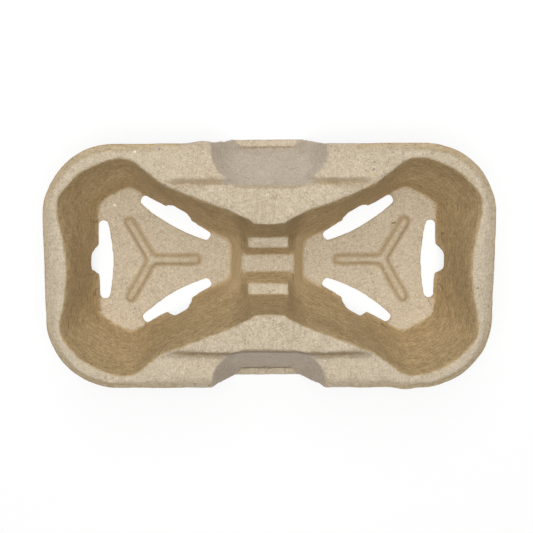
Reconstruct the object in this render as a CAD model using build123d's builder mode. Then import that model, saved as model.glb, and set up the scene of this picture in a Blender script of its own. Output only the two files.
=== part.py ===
from build123d import *
from math import atan, cos, radians, sin, tan
import os

# A moulded pulp carrier for two cups, pressed as one thin sheet.
# The origin is on the table under the middle of the tray, X runs along the length and Z is up.
# The sheet is what lies between two forms of one shape: the form under its upper face, and the
# form under its underside, which has every face one wall thickness further in.

# The sheet, and the flat flange round the cells with an outer edge that slopes down
wall = 1.8
flange_height = 41.5
end_flange = 7.3
side_flange = 8.1
corner_radius = 34.0
edge_width = 5.0
edge_drop = 4.0
crest_round = 5.0
rim_fillet = 1.4

# Each cup's cell at its floor: an inner lobe, two outer lobes, and waists between them
lobe_turns = [0, 120, 240]
inner_reach = 40.4
inner_bulge = 0.4
outer_reach = 38.8
outer_bulge = 0.8
lobe_half_width = 9.4
end_waist = 27.7
side_waist = 27.6
cell_corner_radius = 5.0
floor_fillet = 2.5

# How much more each of these is at the rim, where the walls have leant outwards
inner_lean = 12.6
inner_bulge_growth = 1.0
outer_lean = 12.2
outer_bulge_growth = 3.9
lobe_growth = 11.0
end_lean = 8.7
side_lean = 11.0
corner_growth = 5.0

# The ridge between the cells, and the stepped saddle that crosses it
ridge_half_width = 5.8
saddle_level = 17.5
saddle_half_width = 4.2
step_rise = 12.0
step_run = 4.5
step_width = 4.9
mouth_run = 7.4

# The platform on each long side, raised above the flange
platform_rise = 5.0
platform_inset = 20.0
platform_step_width = 4.2

# The finger grip in each long side, a scoop that falls to a lip at the level of the floors
lip_overhang = 2.8
lip_depth = 4.0
lip_half_width = 13.5
lip_flare = 3.0
lip_corner_radius = 3.0
grip_growth = 12.5
grip_flare_growth = 1.0
grip_corner_growth = 13.0
grip_bite = 0.6

# The raised Y rib in each floor
rib_length = 25.0
rib_width = 5.4
rib_height = 1.8
rib_taper = 35
rib_root_fillet = 2.0

# The slot along the foot of each waist, and the arch that rises from it into the wall
slot_length = 40.0
slot_end_width = 4.4
slot_bow = 2.4
slot_corner_radius = 1.9
slot_setback = 0.6
arch_foot_half_width = 7.4
arch_crown_half_width = 3.4
arch_height = 9.5
arch_corner_radius = 2.6

# Room that the forms run past the sheet's edges, and the least length that counts as an edge
clearance = 5.0
touch = 0.3
run_out = lip_overhang + clearance

platform_height = flange_height + platform_rise
step_level = saddle_level + step_rise
top_level = platform_height + run_out
edge_slope = edge_drop / edge_width
skirt_level = flange_height - (edge_width + run_out) * edge_slope
cell_draft = atan(side_lean / (flange_height - wall))


def turned(x, y, angle):
    return Vector(x, y).rotate(Axis.Z, angle)


def grown(sketch, amount):
    return offset(sketch, amount=amount, kind=Kind.INTERSECTION) if amount else sketch


def cell_section(height):
    """The outline of a cell's upper face at a height, with its inner lobe along X."""
    share = (height - wall) / (flange_height - wall)
    half_width = lobe_half_width + share * lobe_growth
    inner = inner_reach + share * inner_lean
    inner_shoulder = inner - inner_bulge - share * inner_bulge_growth
    outer = outer_reach + share * outer_lean
    outer_shoulder = outer - outer_bulge - share * outer_bulge_growth
    side = side_waist + share * side_lean
    reaches = [inner, outer, outer]
    shoulders = [inner_shoulder, outer_shoulder, outer_shoulder]
    waists = [side, end_waist + share * end_lean, side]
    with BuildSketch(Plane.XY.offset(height)) as section:
        with BuildLine():
            for lobe, turn in enumerate(lobe_turns):
                low = turned(shoulders[lobe], -half_width, turn)
                high = turned(shoulders[lobe], half_width, turn)
                waist = turned(waists[lobe], 0, turn + 60)
                following = turned(shoulders[(lobe + 1) % 3], -half_width, turn + 120)
                ThreePointArc(low, turned(reaches[lobe], 0, turn), high)
                ThreePointArc(high, waist, following)
        make_face()
        fillet(section.vertices(), cell_corner_radius + share * corner_growth)
    return section.sketch


# The outline, the spacing of the cells and the platforms follow from the rims of the cells
rim = cell_section(flange_height).bounding_box()
cell_offset = inner_reach + inner_lean + ridge_half_width
ridge_half_length = cell_offset - inner_reach
tray_length = 2 * (cell_offset - rim.min.X + end_flange)
tray_width = 2 * (rim.max.Y + side_flange)
crest_length = tray_length - 2 * edge_width
crest_width = tray_width - 2 * edge_width
platform_half_width = tray_width / 2 - platform_inset
lip_outer = tray_width / 2 + lip_overhang
lip_inner = lip_outer - lip_depth
grip_draft = atan((lip_inner - platform_half_width) / (platform_height - wall))
cells = [Location((-cell_offset, 0, 0)), Location((cell_offset, 0, 0), (0, 0, 180))]
sides = [Location((0, 0, 0)), Location((0, 0, 0), (0, 0, 180))]
grip_half_mouth = lip_half_width + grip_growth + lip_flare + grip_flare_growth


def scoop_section(height):
    """The outline of the grip on the +Y side at a height, run out past the tray's edge."""
    share = (height - wall) / (platform_height - wall)
    back = lip_inner + share * (platform_half_width - grip_bite - lip_inner)
    half_back = lip_half_width + share * grip_growth
    half_mouth = half_back + lip_flare + share * grip_flare_growth
    flare = (half_mouth - half_back) / (lip_outer - back)
    outer = lip_outer + clearance
    half_outer = half_mouth + flare * clearance
    radius = lip_corner_radius + share * grip_corner_growth
    with BuildSketch(Plane.XY.offset(height)) as section:
        with BuildLine():
            Polyline(
                (-half_outer, outer),
                (-half_back, back),
                (half_back, back),
                (half_outer, outer),
                close=True,
            )
        make_face()
        fillet(section.vertices().group_by(Axis.Y)[0], radius)
    return section.sketch


def form(skin):
    """The solid under the tray's upper face, or under its underside when skin is the wall."""
    spread = skin / cos(cell_draft)
    with BuildPart() as cavity:
        low = grown(cell_section(wall - skin), spread)
        high = grown(cell_section(top_level), spread)
        loft([low, high], ruled=True)
        fillet(cavity.edges().group_by(Axis.Z)[0], floor_fillet + skin)

    spread = skin / cos(grip_draft)
    with BuildPart() as scoop:
        low = grown(scoop_section(wall - skin), spread)
        high = grown(scoop_section(top_level), spread)
        loft([low, high], ruled=True)

    with BuildSketch(Plane.YZ) as saddle:
        with BuildLine():
            step_inner = saddle_half_width + step_run
            step_outer = step_inner + step_width
            mouth_slope = mouth_run / (platform_height - step_level)
            mouth = step_outer + (top_level - step_level) * mouth_slope
            Polyline(
                (0, top_level),
                (0, saddle_level),
                (saddle_half_width, saddle_level),
                (step_inner, step_level),
                (step_outer, step_level),
                (mouth, top_level),
                close=True,
            )
        make_face()
        mirror(about=Plane.YZ)
    saddle_face = grown(saddle.sketch, skin)

    with BuildSketch(Plane.YZ) as platform:
        run = platform_step_width / (platform_height - flange_height)
        root_level = flange_height - run_out
        foot = platform_half_width + run * (platform_height - root_level)
        with BuildLine():
            Polyline(
                (-foot, root_level),
                (foot, root_level),
                (platform_half_width, platform_height),
                (-platform_half_width, platform_height),
                close=True,
            )
        make_face()
    platform_face = grown(platform.sketch, -skin)

    with BuildPart() as rib:
        inset = skin * (1 - sin(radians(rib_taper))) / cos(radians(rib_taper))
        width = rib_width - 2 * inset
        reach = rib_length - rib_width / 2
        with BuildSketch(Plane.XY.offset(wall - skin)) as arms:
            for turn in lobe_turns:
                tip = turned(reach, 0, turn)
                SlotCenterPoint(center=tip / 2, point=tip, height=width)
            roots = arms.vertices().sort_by(lambda vertex: Vector(vertex).length)[:3]
            fillet(roots, rib_root_fillet)
        extrude(amount=rib_height, taper=rib_taper)

    with BuildPart() as body:
        shrink = skin * tan(atan(edge_slope) / 2)
        crest_level = flange_height - skin
        base_level = crest_level - (edge_width + shrink + run_out) * edge_slope
        with BuildSketch(Plane.XY.offset(base_level)) as base:
            RectangleRounded(
                tray_length + 2 * run_out,
                tray_width + 2 * run_out,
                corner_radius + run_out,
            )
        extrude(amount=-base_level - (clearance if skin else 0))
        with BuildSketch(Plane.XY.offset(crest_level)) as crown:
            RectangleRounded(
                crest_length - 2 * shrink,
                crest_width - 2 * shrink,
                corner_radius - edge_width - shrink,
            )
        loft([base.sketch, crown.sketch], ruled=True)
        extrude(platform_face, amount=cell_offset, both=True)
        extrude(saddle_face, amount=ridge_half_length + run_out, both=True, mode=Mode.SUBTRACT)
        with Locations(*cells):
            add(cavity.part, mode=Mode.SUBTRACT)
            add(rib.part)
        with Locations(*sides):
            add(scoop.part, mode=Mode.SUBTRACT)
    return body.part


def slot_section(waist, angle):
    """The slot at the foot of a waist, with its outer edge straight and its inner edge bowed."""
    outer = waist - slot_setback
    ends = outer - slot_end_width
    half = slot_length / 2
    with BuildSketch() as section:
        with BuildLine():
            Polyline((ends, -half), (outer, -half), (outer, half), (ends, half))
            ThreePointArc((ends, -half), (ends - slot_bow, 0), (ends, half))
        make_face()
        fillet(section.vertices(), slot_corner_radius)
    return section.sketch.rotate(Axis.Z, angle)


def is_soft(edge):
    """Whether an edge of the upper form is one of the rims that the pulp rounds off."""
    box = edge.bounding_box()
    reach_x = max(-box.min.X, box.max.X)
    reach_y = max(-box.min.Y, box.max.Y)
    inside_crest = reach_x < crest_length / 2 - touch and reach_y < crest_width / 2 - touch
    beside_grip = reach_x < grip_half_mouth
    on_top = box.min.Z > skirt_level - touch and (inside_crest or beside_grip)
    on_saddle = box.min.Z > saddle_level - touch and reach_x < ridge_half_length
    return edge.length > touch and (on_top or on_saddle)


def is_crest(edge):
    """Whether an edge of the upper form is on the line where the flange starts to slope down."""
    middle = Vertex(edge.position_at(0.5))
    return min(middle.distance_to(line) for line in crest.edges()) < touch


upper_form = form(0)
lower_form = form(wall)
with BuildSketch(Plane.XY.offset(flange_height)) as crown:
    RectangleRounded(crest_length, crest_width, corner_radius - edge_width)
crest = crown.sketch
with BuildPart() as upper:
    add(upper_form)
    fillet([edge for edge in upper.edges() if is_crest(edge)], crest_round)
    fillet([edge for edge in upper.edges() if is_soft(edge)], rim_fillet)

with BuildPart() as outline:
    with BuildSketch():
        RectangleRounded(tray_length, tray_width, corner_radius)
    extrude(amount=top_level)
    with BuildSketch(Plane.YZ):
        with BuildLine():
            flare_level = skirt_level - wall
            Polyline(
                (-lip_outer, 0),
                (lip_outer, 0),
                (tray_width / 2, flare_level),
                (-tray_width / 2, flare_level),
                close=True,
            )
        make_face()
    extrude(amount=grip_half_mouth, both=True)

with BuildPart() as openings:
    for waist, angle in [(side_waist, 60), (end_waist, 180), (side_waist, 300)]:
        extrude(slot_section(waist, angle), amount=clearance, both=True)
        start = turned(waist - slot_end_width, 0, angle)
        front = Plane(start, x_dir=turned(0, 1, angle), z_dir=turned(1, 0, angle))
        with BuildSketch(front) as arch:
            with BuildLine():
                Polyline(
                    (-arch_foot_half_width, -clearance),
                    (-arch_foot_half_width, 0),
                    (-arch_crown_half_width, arch_height),
                    (arch_crown_half_width, arch_height),
                    (arch_foot_half_width, 0),
                    (arch_foot_half_width, -clearance),
                    close=True,
                )
            make_face()
            fillet(arch.vertices().group_by(Axis.Y)[-1], arch_corner_radius)
        extrude(arch.sketch, amount=slot_end_width + run_out)

with BuildPart() as tray:
    add(upper.part)
    add(lower_form, mode=Mode.SUBTRACT)
    add(outline.part, mode=Mode.INTERSECT)
    with Locations(*cells):
        add(openings.part, mode=Mode.SUBTRACT)

tray.part.label = "carrier_tray"
os.makedirs("parts", exist_ok=True)
export_step(tray.part, "parts/carrier_tray.step")
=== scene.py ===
from math import atan2, degrees, exp, hypot, radians

import bmesh
import bpy
from mathutils import Matrix, Vector, noise


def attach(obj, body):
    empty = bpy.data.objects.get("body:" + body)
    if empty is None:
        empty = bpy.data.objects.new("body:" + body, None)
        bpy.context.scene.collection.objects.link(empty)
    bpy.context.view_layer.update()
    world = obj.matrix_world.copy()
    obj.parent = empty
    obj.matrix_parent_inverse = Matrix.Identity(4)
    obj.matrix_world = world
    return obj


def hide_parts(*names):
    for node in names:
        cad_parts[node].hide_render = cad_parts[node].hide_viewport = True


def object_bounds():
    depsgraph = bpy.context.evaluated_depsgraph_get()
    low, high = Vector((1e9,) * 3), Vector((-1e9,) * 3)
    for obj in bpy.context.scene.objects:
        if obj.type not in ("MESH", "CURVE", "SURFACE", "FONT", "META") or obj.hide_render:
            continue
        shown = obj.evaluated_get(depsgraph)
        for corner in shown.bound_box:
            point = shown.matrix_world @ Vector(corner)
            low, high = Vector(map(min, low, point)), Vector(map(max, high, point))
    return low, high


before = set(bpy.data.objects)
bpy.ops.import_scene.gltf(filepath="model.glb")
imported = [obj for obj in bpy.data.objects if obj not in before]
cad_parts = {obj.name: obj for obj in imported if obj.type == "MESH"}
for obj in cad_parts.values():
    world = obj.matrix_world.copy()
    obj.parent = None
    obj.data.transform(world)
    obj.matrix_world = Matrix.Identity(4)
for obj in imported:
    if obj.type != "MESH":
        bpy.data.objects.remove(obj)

cad_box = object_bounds()

# The tray is one sheet of moulded pulp. The wet fibres are drawn onto a mesh mould, so the sheet
# has soft rims and a slightly wavy face. It buckled in a few places as it dried, and its cut edges
# are a little ragged.
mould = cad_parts["carrier_tray"]
voxel = 0.0006
face_limit = 190000
softening_rounds = 5
drawing_rounds = 200
slack_levels = 8

# Slow waves of the face and a ragged plan, as pairs of length and depth in metres. Without a seed
# the ragged plan would be another one in each run.
waves = [(0.030, 0.00022), (0.011, 0.00014), (0.0045, 0.00009), (0.0019, 0.00004)]
ragged = [(0.012, 0.00020), (0.0035, 0.00010)]
ragged_seed = 1

# The plan of the tray in metres: its pockets, its outline, and the ways in which the slots face.
pocket_offset = 0.0588
outline_half = (0.1059, 0.0580)
outline_corner = 0.034
slant = (0.5, 0.866)
slot_ways = ((1.0, 0.0), (-slant[0], slant[1]))
slot_reach = 0.022

# Creases that dried into the face: lift and width in metres, and a line in millimetres.
creases = [
    (
        0.00024,
        0.0006,
        [(-8, 34.1), (-5, 34.5), (-2, 34.2), (1, 33.5), (4, 33.0), (9, 33.1), (13, 33.0)],
    ),
    (0.00018, 0.0005, [(-5.5, 35.5), (-2, 35.9), (1, 35.2)]),
    (0.00016, 0.0006, [(-6, -25.0), (-2, -23.7), (2, -24.3), (6, -26.0)]),
    (0.00026, 0.0006, [(13, -26.2), (19, -29.0), (24, -29.3), (28, -30.4), (32, -32.5)]),
    (-0.00026, 0.0006, [(-47.6, -29.3), (-45.4, -31.0), (-43.3, -32.4)]),
    (-0.00028, 0.0005, [(-88.2, -8.0), (-88.4, -15.5)]),
    (-0.00028, 0.0005, [(88.3, 13.9), (88.5, 6.5)]),
    (0.00022, 0.0006, [(89.4, -10.0), (89.8, -19.0), (91.2, -25.5), (90.6, -30.5)]),
    (-0.00022, 0.0006, [(-94.4, -5.6), (-90.2, -6.0), (-87.5, -5.6)]),
]

# How far the rim of a pocket swells, in metres, at each angle round it from its outer end.
rim_pull = [
    (0, -0.0014),
    (18, -0.0010),
    (34, -0.0002),
    (45, 0.0008),
    (58, 0.0018),
    (72, 0.0018),
    (84, 0.0012),
    (95, 0.0003),
    (106, -0.0005),
    (118, -0.0001),
    (132, 0.0009),
    (146, 0.0019),
    (158, 0.0010),
    (180, 0.0),
]

# Bulges of the long edges: middle and reach in millimetres, and push in metres.
bulges = [((-30.5, 58.0), 6.0, 0.0011), ((65.5, -58.0), 4.5, 0.0010), ((-20.0, 58.5), 4.0, 0.0008)]
bulge_foot = 0.02

sheet = bmesh.new()
sheet.from_mesh(mould.data)
bmesh.ops.remove_doubles(sheet, verts=sheet.verts, dist=2e-6)
pulp_mesh = bpy.data.meshes.new("pulp_tray")
sheet.to_mesh(pulp_mesh)
sheet.free()
pulp = bpy.data.objects.new("pulp_tray", pulp_mesh)
bpy.context.scene.collection.objects.link(pulp)


def applied(piece):
    """Gives the piece the mesh that its modifiers make, and takes the modifiers off."""
    shaped = bpy.data.meshes.new_from_object(
        piece.evaluated_get(bpy.context.evaluated_depsgraph_get())
    )
    piece.modifiers.clear()
    piece.data = shaped


def off_line(x, y, line):
    """How far a point of the plan lies from a line of points."""
    nearest = 1.0
    for (ax, ay), (bx, by) in zip(line, line[1:]):
        run_x, run_y = bx - ax, by - ay
        share = ((x - ax) * run_x + (y - ay) * run_y) / (run_x**2 + run_y**2)
        share = min(max(share, 0.0), 1.0)
        gap = ((x - ax - share * run_x) ** 2 + (y - ay - share * run_y) ** 2) ** 0.5
        nearest = min(nearest, gap)
    return nearest


def rise(value, start, end):
    """Rises from 0 at start to 1 at end."""
    share = min(max((value - start) / (end - start), 0.0), 1.0)
    return share * share * (3 - 2 * share)


def fall(value, start, end):
    """Falls from 1 at start to 0 at end."""
    return rise(-value, -end, -start)


def inset(x, y):
    """How far inside the tray's outline a point of the plan lies."""
    along = max(abs(x) - outline_half[0] + outline_corner, 0.0)
    across = max(abs(y) - outline_half[1] + outline_corner, 0.0)
    return outline_corner - (along**2 + across**2) ** 0.5


def slackness(x, y, z):
    """How freely the wet sheet pulls round at a point: fully on the pocket walls and their rims."""
    out, up = abs(x) - pocket_offset, abs(y)
    freedom = rise(inset(x, y), 0.0015, 0.0055) * fall((out**2 + up**2) ** 0.5, 0.046, 0.050)
    off_arch = 1.0
    for way_x, way_y in slot_ways:
        if way_x * out + way_y * up > slot_reach:
            beside = abs(way_x * up - way_y * out)
            off_arch = min(off_arch, max(rise(beside, 0.009, 0.013), rise(z, 0.0115, 0.0165)))
    on_wall = freedom * off_arch * rise(z, 0.005, 0.013)
    by_arch = freedom * (1 - off_arch) / slack_levels
    return max(on_wall, by_arch)


def pull(x, y, z):
    """How far a point moves out from its pocket's middle, where the rim sags or swells."""
    out, up = abs(x) - pocket_offset, abs(y)
    reach = (out**2 + up**2) ** 0.5
    angle = degrees(atan2(up, out))
    for (before, near), (after, far) in zip(rim_pull, rim_pull[1:]):
        if before <= angle <= after:
            move = near + (far - near) * rise(angle, before, after)
    move *= rise(z, 0.008, 0.036) * rise(inset(x, y), 0.0005, 0.0065) * fall(reach, 0.054, 0.062)
    side_x, side_y = (1 if x > 0 else -1), (1 if y > 0 else -1)
    return Vector((move * out / reach * side_x, move * up / reach * side_y, 0))


felting = pulp.modifiers.new("felting", "REMESH")
felting.mode = "VOXEL"
felting.voxel_size = voxel
applied(pulp)
loose = [[] for _ in range(slack_levels + 1)]
for vert in pulp.data.vertices:
    loose[round(slack_levels * slackness(*vert.co))].append(vert.index)
walls = pulp.vertex_groups.new(name="walls")
for level, members in enumerate(loose):
    if level and members:
        walls.add(members, level / slack_levels, "REPLACE")
softening = pulp.modifiers.new("softening", "SMOOTH")
softening.iterations = softening_rounds
drawing = pulp.modifiers.new("drawing", "SMOOTH")
drawing.iterations = drawing_rounds
drawing.use_z = False
drawing.vertex_group = "walls"
applied(pulp)

sheet = bmesh.new()
sheet.from_mesh(pulp.data)
sheet.normal_update()
lines = [(lift, width, [(x / 1000, y / 1000) for x, y in line]) for lift, width, line in creases]
zones = [
    (
        min(x for x, _ in line) - 3 * width,
        max(x for x, _ in line) + 3 * width,
        min(y for _, y in line) - 3 * width,
        max(y for _, y in line) + 3 * width,
    )
    for _, width, line in lines
]
low, high = [Vector(corner) for corner in cad_box]
noise.seed_set(ragged_seed)
for vert in sheet.verts:
    place = vert.co.copy()
    swell = sum(depth * noise.noise(place / length) for length, depth in waves)
    vert.co += vert.normal * swell + pull(*place)
    for length, depth in ragged:
        stray = noise.noise_vector(Vector((place.x, place.y, 0.3 * place.z)) / length)
        vert.co += Vector((stray.x, stray.y, 0)) * depth
    for (left, right, front, back), (fold, width, line) in zip(zones, lines):
        if left < place.x < right and front < place.y < back:
            up = vert.normal if vert.normal.z > 0 else -vert.normal
            vert.co += up * fold * exp(-((off_line(place.x, place.y, line) / width) ** 2))
    for (x, y), reach, push in bulges:
        gap = ((place.x * 1000 - x) ** 2 + (place.y * 1000 - y) ** 2) / reach**2
        if gap < 4 and place.z > bulge_foot:
            vert.co.y += (push if y > 0 else -push) * exp(-gap)
    for axis in range(3):
        vert.co[axis] = min(max(vert.co[axis], low[axis]), high[axis])
sheet.to_mesh(pulp.data)
sheet.free()

thinning = pulp.modifiers.new("thinning", "DECIMATE")
thinning.ratio = face_limit / (2 * len(pulp.data.polygons))
applied(pulp)
pulp.data.polygons.foreach_set("use_smooth", [True] * len(pulp.data.polygons))

# The fibres lie loose and pale on the flat faces, and on the steep walls the mould stretched them
# into fine level streaks. The masks made here also steer painted light and shade: painted shade
# makes the steep walls darker and more saturated and darkens the hollows and rib flanks, a cold
# pale painted light lies on the outer grip walls, and painted light lightens the slot mouths.
sheet = bmesh.new()
sheet.from_mesh(pulp.data)
sheet.normal_update()
steep = [1 - abs(vert.normal.z) for vert in sheet.verts]
hollow = []
for vert in sheet.verts:
    bend = 0.0
    for edge in vert.link_edges:
        way = edge.other_vert(vert).co - vert.co
        bend += vert.normal.dot(way) / max(way.length_squared, 1e-9)
    hollow.append(bend / len(vert.link_edges) / 1000)
steep_rounds, hollow_rounds = 5, 3
for values, rounds in ((steep, steep_rounds), (hollow, hollow_rounds)):
    for _ in range(rounds):
        spread = [
            sum(values[edge.other_vert(vert).index] for edge in vert.link_edges)
            / len(vert.link_edges)
            for vert in sheet.verts
        ]
        values[:] = [0.4 * own + 0.6 * near for own, near in zip(values, spread)]
grip, rib, mouth = [], [], []
for vert, slope in zip(sheet.verts, steep):
    out, up, middle = abs(vert.co.x) - pocket_offset, abs(vert.co.y), abs(vert.co.x)
    along = max(-out, slant[0] * out + slant[1] * up)
    beside = min(
        up if out < 0 else 1.0, abs(slant[1] * out - slant[0] * up) if out + up > 0 else 1.0
    )
    flank = rise(slope, 0.015, 0.08) * fall(beside, 0.0035, 0.0045) * fall(along, 0.026, 0.028)
    rib.append(flank if 0.0012 < vert.co.z < 0.0045 else 0.0)
    edge = 0.040 - 0.004 * fall(middle, 0.018, 0.026)
    grip.append(rise(slope, 0.10, 0.45) * rise(up, edge, edge + 0.004) * fall(middle, 0.038, 0.044))
    # The mouth mask marks the steep walls at the slot mouths, where painted light lightens the
    # colour.
    mouth_light = fall(up, 0.009, 0.018) * fall(middle, 0.027, 0.031) * rise(slope, 0.1, 0.5)
    mouth.append(mouth_light * rise(middle, 0.012, 0.015))
sheet.free()
tone_and_shade_masks = {"steep": steep, "hollow": hollow, "grip": grip, "rib": rib, "mouth": mouth}
for name, values in tone_and_shade_masks.items():
    layer = pulp.data.attributes.new(name, "FLOAT", "POINT")
    layer.data.foreach_set("value", values)


class Field:
    """A shader socket that takes part in sums."""

    tree = None

    def __init__(self, socket):
        self.socket = socket

    @classmethod
    def node(cls, kind, settings=None, **inputs):
        """Adds a node, with its settings and the values or links of its sockets."""
        made = cls.tree.nodes.new("ShaderNode" + kind)
        for name, value in (settings or {}).items():
            setattr(made, name, value)
        for name, value in inputs.items():
            number = name[0] == "_"
            socket = made.inputs[int(name[1:]) if number else name.replace("_", " ")]
            if isinstance(value, Field):
                cls.tree.links.new(value.socket, socket)
            else:
                socket.default_value = value
        return made

    @classmethod
    def attribute(cls, name):
        return Field(cls.node("Attribute", {"attribute_name": name}).outputs["Fac"])

    @classmethod
    def math(cls, operation, *values, clamp=False):
        inputs = {f"_{place}": value for place, value in enumerate(values)}
        settings = {"operation": operation, "use_clamp": clamp}
        return Field(cls.node("Math", settings, **inputs).outputs[0])

    def __add__(self, other):
        return Field.math("ADD", self, other)

    def __sub__(self, other):
        return Field.math("SUBTRACT", self, other)

    def __mul__(self, other):
        return Field.math("MULTIPLY", self, other)

    __radd__ = __add__
    __rmul__ = __mul__

    def __rsub__(self, other):
        return Field.math("SUBTRACT", other, self)

    def axis(self, place):
        return Field(Field.node("SeparateXYZ", Vector=self).outputs[place])

    def limited(self):
        """Cuts the value off at 0 and at 1."""
        return Field.math("ADD", self, 0.0, clamp=True)

    def size(self):
        return Field.math("ABSOLUTE", self)

    def ramp(self, start, end):
        """Rises smoothly from 0 at start to 1 at end."""
        settings = {"interpolation_type": "SMOOTHSTEP"}
        return Field(
            Field.node("MapRange", settings, Value=self, From_Min=start, From_Max=end).outputs[0]
        )


def grain(place, size, detail=2.0, stretch=(1, 1, 1), turn=(0, 0, 0), rough=0.5):
    """Noise whose lumps have a size in metres, stretched and turned."""
    scale = tuple(1 / (size * share) for share in stretch)
    turned = Field(
        Field.node("Mapping", {"vector_type": "TEXTURE"}, Vector=place, Rotation=turn).outputs[0]
    )
    spread = Field(
        Field.node("VectorMath", {"operation": "MULTIPLY"}, _0=turned, _1=scale).outputs[0]
    )
    made = Field.node("TexNoise", Vector=spread, Scale=1.0, Detail=detail, Roughness=rough)
    return Field(made.outputs[0])


def specks(place, spacing, radius, share):
    """Round specks at random, in the given share of the cells of that spacing."""
    made = Field.node("TexVoronoi", Vector=place, Scale=1 / spacing, Randomness=1.0)
    pick = Field.node("SeparateColor", Color=Field(made.outputs["Color"]))
    chosen = Field(pick.outputs[0]).ramp(1 - share, 1 - 0.98 * share)
    reach = radius / spacing
    return chosen * (1 - Field(made.outputs["Distance"]).ramp(0.5 * reach, 1.2 * reach))


def mixed(factor, first, second):
    """The first colour at a factor of 0 and the second at 1."""
    settings = {"data_type": "RGBA"}
    return Field(Field.node("Mix", settings, _0=factor, _6=first, _7=second).outputs[2])


# Lines of painted shade in millimetres: start, end, width, depth of the colour, height, and reach
# in height. The first five run along the feet of the platforms and lips, the rest along small folds
# and tears.
shade_strokes = [
    ((-46, -39.4), (47, -39.4), 1.5, 0.50, 44, 6),
    ((-47, 40.7), (-17, 40.4), 1.9, 0.34, 44, 6),
    ((18, 40.9), (47, 41.4), 1.9, 0.34, 44, 6),
    ((-14.6, 57.0), (14.6, 56.9), 0.9, 0.45, 3, 5),
    ((-14.0, -56.7), (13.6, -56.8), 0.9, 0.60, 3, 5),
    ((88.2, 14.5), (88.4, 8.5), 0.5, 0.60, 10, 4),
    ((89.3, 2.0), (94.0, -1.6), 0.6, 0.40, 12, 5),
    ((86.1, -11.2), (89.4, -15.0), 0.5, 0.50, 8, 4),
    ((-92.0, -5.3), (-86.6, -6.7), 0.5, 0.50, 9, 5),
    ((-87.4, 19.4), (-85.3, 21.1), 0.5, 0.50, 5, 4),
    ((-87.2, -14.2), (-88.0, -17.8), 0.5, 0.50, 7, 4),
    ((-48.2, -29.4), (-44.6, -33.2), 0.6, 0.50, 9, 5),
    ((-63.3, -33.4), (-61.2, -34.4), 0.7, 0.60, 2, 3),
    ((-65.2, 31.8), (-62.6, 33.8), 0.5, 0.45, 3, 4),
    ((63.4, 18.0), (65.8, 18.8), 0.5, 0.80, 3, 3),
    ((83.3, -20.6), (84.9, -25.1), 0.5, 0.50, 4, 4),
    ((58.2, -32.9), (61.2, -35.2), 0.8, 0.65, 4, 4),
]

# Single coloured fibres: place and radius in millimetres, and colour.
flecks = [
    ((-50.5, 55.5), 0.7, (0.10, 0.20, 0.34, 1)),
    ((-68.2, -25.7), 0.7, (0.13, 0.22, 0.36, 1)),
    ((-47.4, 39.0), 0.7, (0.12, 0.20, 0.32, 1)),
    ((47.6, 43.3), 0.7, (0.62, 0.50, 0.12, 1)),
    ((-61.5, 54.3), 0.9, (0.85, 0.82, 0.76, 1)),
    ((-77.5, 28.0), 0.9, (0.85, 0.82, 0.76, 1)),
]

pulp_finish = bpy.data.materials.new("pulp")
pulp_finish.use_nodes = True
Field.tree = pulp_finish.node_tree
shader = Field.tree.nodes["Principled BSDF"]
spot = Field(Field.node("TexCoord").outputs["Object"])
wall = Field.attribute("steep").ramp(0.08, 0.50)
corner = Field.attribute("hollow").ramp(0.05, 0.5)
grip_wall = Field.attribute("grip")
rib_flank_shade = Field.attribute("rib")
mouth_painted_light = Field.attribute("mouth")

web = grain(spot, 0.0030, 2.0)
fine = grain(spot, 0.00065, 2.0, rough=0.65)
felt = grain(spot, 0.0019, 3.0)
blotch = grain(spot, 0.010, 2.0)
cloud = grain(spot, 0.045, 1.0)
streak = grain(spot, 0.0011, 3.0, stretch=(4.5, 4.5, 0.85), rough=0.7)
fibre = 0
for turn in (0.35, 1.45, 2.5):
    strand = grain(spot, 0.0009, 1.0, stretch=(6, 0.8, 2), turn=(0, 0, turn))
    fibre = fibre + (strand.ramp(0.58, 0.72) - (1 - strand).ramp(0.58, 0.72))
lightness = 1.45 * (fine - 0.5) + 0.60 * (felt - 0.5)
lightness = lightness + 0.26 * (blotch - 0.5) + 0.16 * (cloud - 0.5)
lightness = lightness + 0.15 * fibre * (1 - 0.4 * wall)
lightness = lightness + 1.60 * (streak - 0.5) * wall * (1 - grip_wall)
tone = (lightness + 0.5).limited()

pale = mixed(tone, (0.323, 0.261, 0.176, 1), (0.632, 0.543, 0.413, 1))
# Painted shade: the steep walls get a darker, more saturated copy of the flat colour, standing in
# for the bounce light they lack.
painted_wall_shade = mixed(tone, (0.275, 0.192, 0.088, 1), (0.600, 0.450, 0.255, 1))
# Painted light: the outer grip walls get a cold pale copy of the colour, standing in for the white
# light they catch from the room and table.
painted_grip_light = mixed(tone, (0.340, 0.280, 0.211, 1), (0.645, 0.550, 0.443, 1))
colour = mixed(wall, pale, painted_wall_shade)
colour = mixed(grip_wall, colour, painted_grip_light)
# Painted shade darkens the hollows of the sheet.
colour = mixed(corner * 0.45, colour, (0.30, 0.21, 0.10, 1))
# Painted shade darkens the flanks of the ribs.
colour = mixed(rib_flank_shade * 0.5, colour, (0.33, 0.235, 0.115, 1))
across, along, above = spot.axis(0), spot.axis(1), spot.axis(2)
# Painted shade darkens the steep walls of the saddles between the pockets.
saddle_shade = (1 - across.size().ramp(0.012, 0.019)) * along.size().ramp(0.009, 0.014)
saddle_shade = saddle_shade * (1 - along.size().ramp(0.030, 0.034)) * (1 - grip_wall) * wall
colour = mixed(saddle_shade * 0.42, colour, (0.20, 0.135, 0.06, 1))
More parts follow.
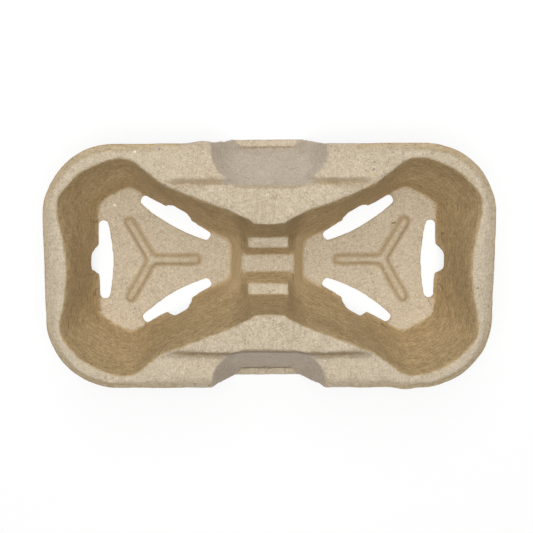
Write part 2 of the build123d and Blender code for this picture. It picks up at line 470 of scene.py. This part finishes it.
# Painted light lightens the steep walls at the slot mouths.
colour = mixed(mouth_painted_light * 0.6, colour, (0.68, 0.53, 0.32, 1))
shade = 0
for (from_x, from_y), (to_x, to_y), width, depth, level, spread in shade_strokes:
    span = hypot(to_x - from_x, to_y - from_y) / 1000
    way_x, way_y = (to_x - from_x) / 1000 / span, (to_y - from_y) / 1000 / span
    beyond_x, beyond_y = across - from_x / 1000, along - from_y / 1000
    share = (beyond_x * way_x + beyond_y * way_y) * (1 / span)
    aside = (beyond_y * way_x - beyond_x * way_y + (web - 0.5) * 0.0022).size()
    band = 1 - aside.ramp(0.25 * width / 1000, width / 1000)
    ends = share.ramp(-0.05, 0.12) * (1 - share.ramp(0.88, 1.05))
    near = 1 - (above - level / 1000).size().ramp(0.6 * spread / 1000, spread / 1000)
    shade = shade + band * ends * near * depth
colour = mixed(shade.limited(), colour, (0.13, 0.085, 0.035, 1))
for (mark_x, mark_y), radius, dye in flecks:
    off_x, off_y = across - mark_x / 1000, along - mark_y / 1000
    away = Field.math("SQRT", off_x * off_x + off_y * off_y)
    colour = mixed((1 - away.ramp(0.3 * radius / 1000, radius / 1000)) * 0.8, colour, dye)
hairs = (1 - (web * 2 - 1).size().ramp(0.02, 0.07)) * grain(spot, 0.0060).ramp(0.52, 0.60)
dark_bits = specks(spot, 0.0022, 0.00032, 0.26) + specks(spot, 0.0070, 0.00060, 0.16)
pale_bits = specks(spot, 0.0038, 0.00042, 0.14)
blue_bits = specks(spot, 0.019, 0.00045, 0.10)
colour = mixed(hairs * 0.28, colour, (0.22, 0.155, 0.08, 1))
colour = mixed(dark_bits * 0.7, colour, (0.12, 0.085, 0.05, 1))
colour = mixed(pale_bits * 0.6, colour, (0.78, 0.74, 0.66, 1))
colour = mixed(blue_bits * 0.6, colour, (0.20, 0.25, 0.34, 1))
Field.tree.links.new(colour.socket, shader.inputs["Base Color"])
shader.inputs["Roughness"].default_value = 0.92
shader.inputs["Specular IOR Level"].default_value = 0.25
height = 0.6 * fine + 0.6 * felt + 0.25 * fibre + 0.7 * streak * wall * (1 - grip_wall)
bump = Field.node("Bump", Height=height, Strength=0.7, Distance=0.0002)
Field.tree.links.new(bump.outputs[0], shader.inputs["Normal"])
pulp.data.materials.append(pulp_finish)
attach(pulp, "root")
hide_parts("carrier_tray")

# The tray lies on a plain white table, one flat sheet that runs out of the picture on every side.
# Its face lies a hair below the tray's base, so the two never cross.
table_half = 3
table_drop = 0.00005
table_mesh = bpy.data.meshes.new("table")
top = bmesh.new()
bmesh.ops.create_grid(top, x_segments=1, y_segments=1, size=table_half)
bmesh.ops.translate(top, verts=top.verts, vec=(0, 0, -table_drop))
top.to_mesh(table_mesh)
top.free()
table = bpy.data.objects.new("table", table_mesh)
bpy.context.scene.collection.objects.link(table)
table_finish = bpy.data.materials.new("table")
table_finish.use_nodes = True
Field.tree = table_finish.node_tree
Field.tree.nodes.clear()


def seen_directly():
    """1 where the surface is seen by the camera or in a reflection, and 0 where it only lights."""
    rays = Field.node("LightPath")
    return Field(rays.outputs["Is Camera Ray"]) + Field(rays.outputs["Is Glossy Ray"])


paint = Field.node("BsdfDiffuse", Color=(0.9, 0.9, 0.9, 1))
glow = Field.node("Emission", Color=(1, 1, 1, 1), Strength=1.0)
whiteness = seen_directly() * 0.8
cover = Field.node("MixShader", _0=whiteness, _1=Field(paint.outputs[0]), _2=Field(glow.outputs[0]))
Field.node("OutputMaterial", Surface=Field(cover.outputs[0]))
table_mesh.materials.append(table_finish)

# A wide soft lamp hangs right over the tray and a weaker one beyond its far side. The room round
# them is white to look at and dim in its light.
room = bpy.data.worlds.new("room")
room.use_nodes = True
Field.tree = room.node_tree
Field.tree.nodes.clear()
dim = Field.node("Background", Color=(1, 1, 1, 1), Strength=0.12)
bright = Field.node("Background", Color=(1, 1, 1, 1), Strength=1.0)
air = Field.node(
    "MixShader", _0=seen_directly(), _1=Field(dim.outputs[0]), _2=Field(bright.outputs[0])
)
Field.node("OutputWorld", Surface=Field(air.outputs[0]))
bpy.context.scene.world = room


def hang_lamp(name, place, aim, size, power):
    """A round lamp with a size in metres, turned towards the aim."""
    lamp_data = bpy.data.lights.new(name, "AREA")
    lamp_data.shape = "DISK"
    lamp_data.size = size
    lamp_data.energy = power
    lamp = bpy.data.objects.new(name, lamp_data)
    lamp.location = place
    lamp.rotation_euler = (Vector(place) - Vector(aim)).to_track_quat("Z", "Y").to_euler()
    bpy.context.scene.collection.objects.link(lamp)


hang_lamp("overhead", (-0.03, 0.0, 0.95), (0, 0, 0), 0.8, 8.7)
hang_lamp("far_side", (-0.05, 0.62, 0.72), (0, 0, 0), 0.6, 2.8)

# The camera looks down on the tray from a little beyond its far side, 0.42 metres up, and turned
# by a few degrees. Its shift puts the tray in the middle of the picture.
camera_place = (-0.01113, 0.04853, 0.42379)
tilt = Matrix.Rotation(radians(0.153), 3, "Z") @ Matrix.Rotation(radians(-0.367), 3, "Y")
tilt = tilt @ Matrix.Rotation(radians(7.063), 3, "X")
eye = bpy.data.cameras.new("camera")
eye.lens = 55.9
eye.shift_x = 0.05
eye.clip_start = 0.01
camera = bpy.data.objects.new("camera", eye)
camera.matrix_world = Matrix.Translation(camera_place) @ tilt.transposed().to_4x4()
bpy.context.scene.collection.objects.link(camera)
bpy.context.scene.camera = camera

bpy.context.scene.view_settings.view_transform = "Standard"
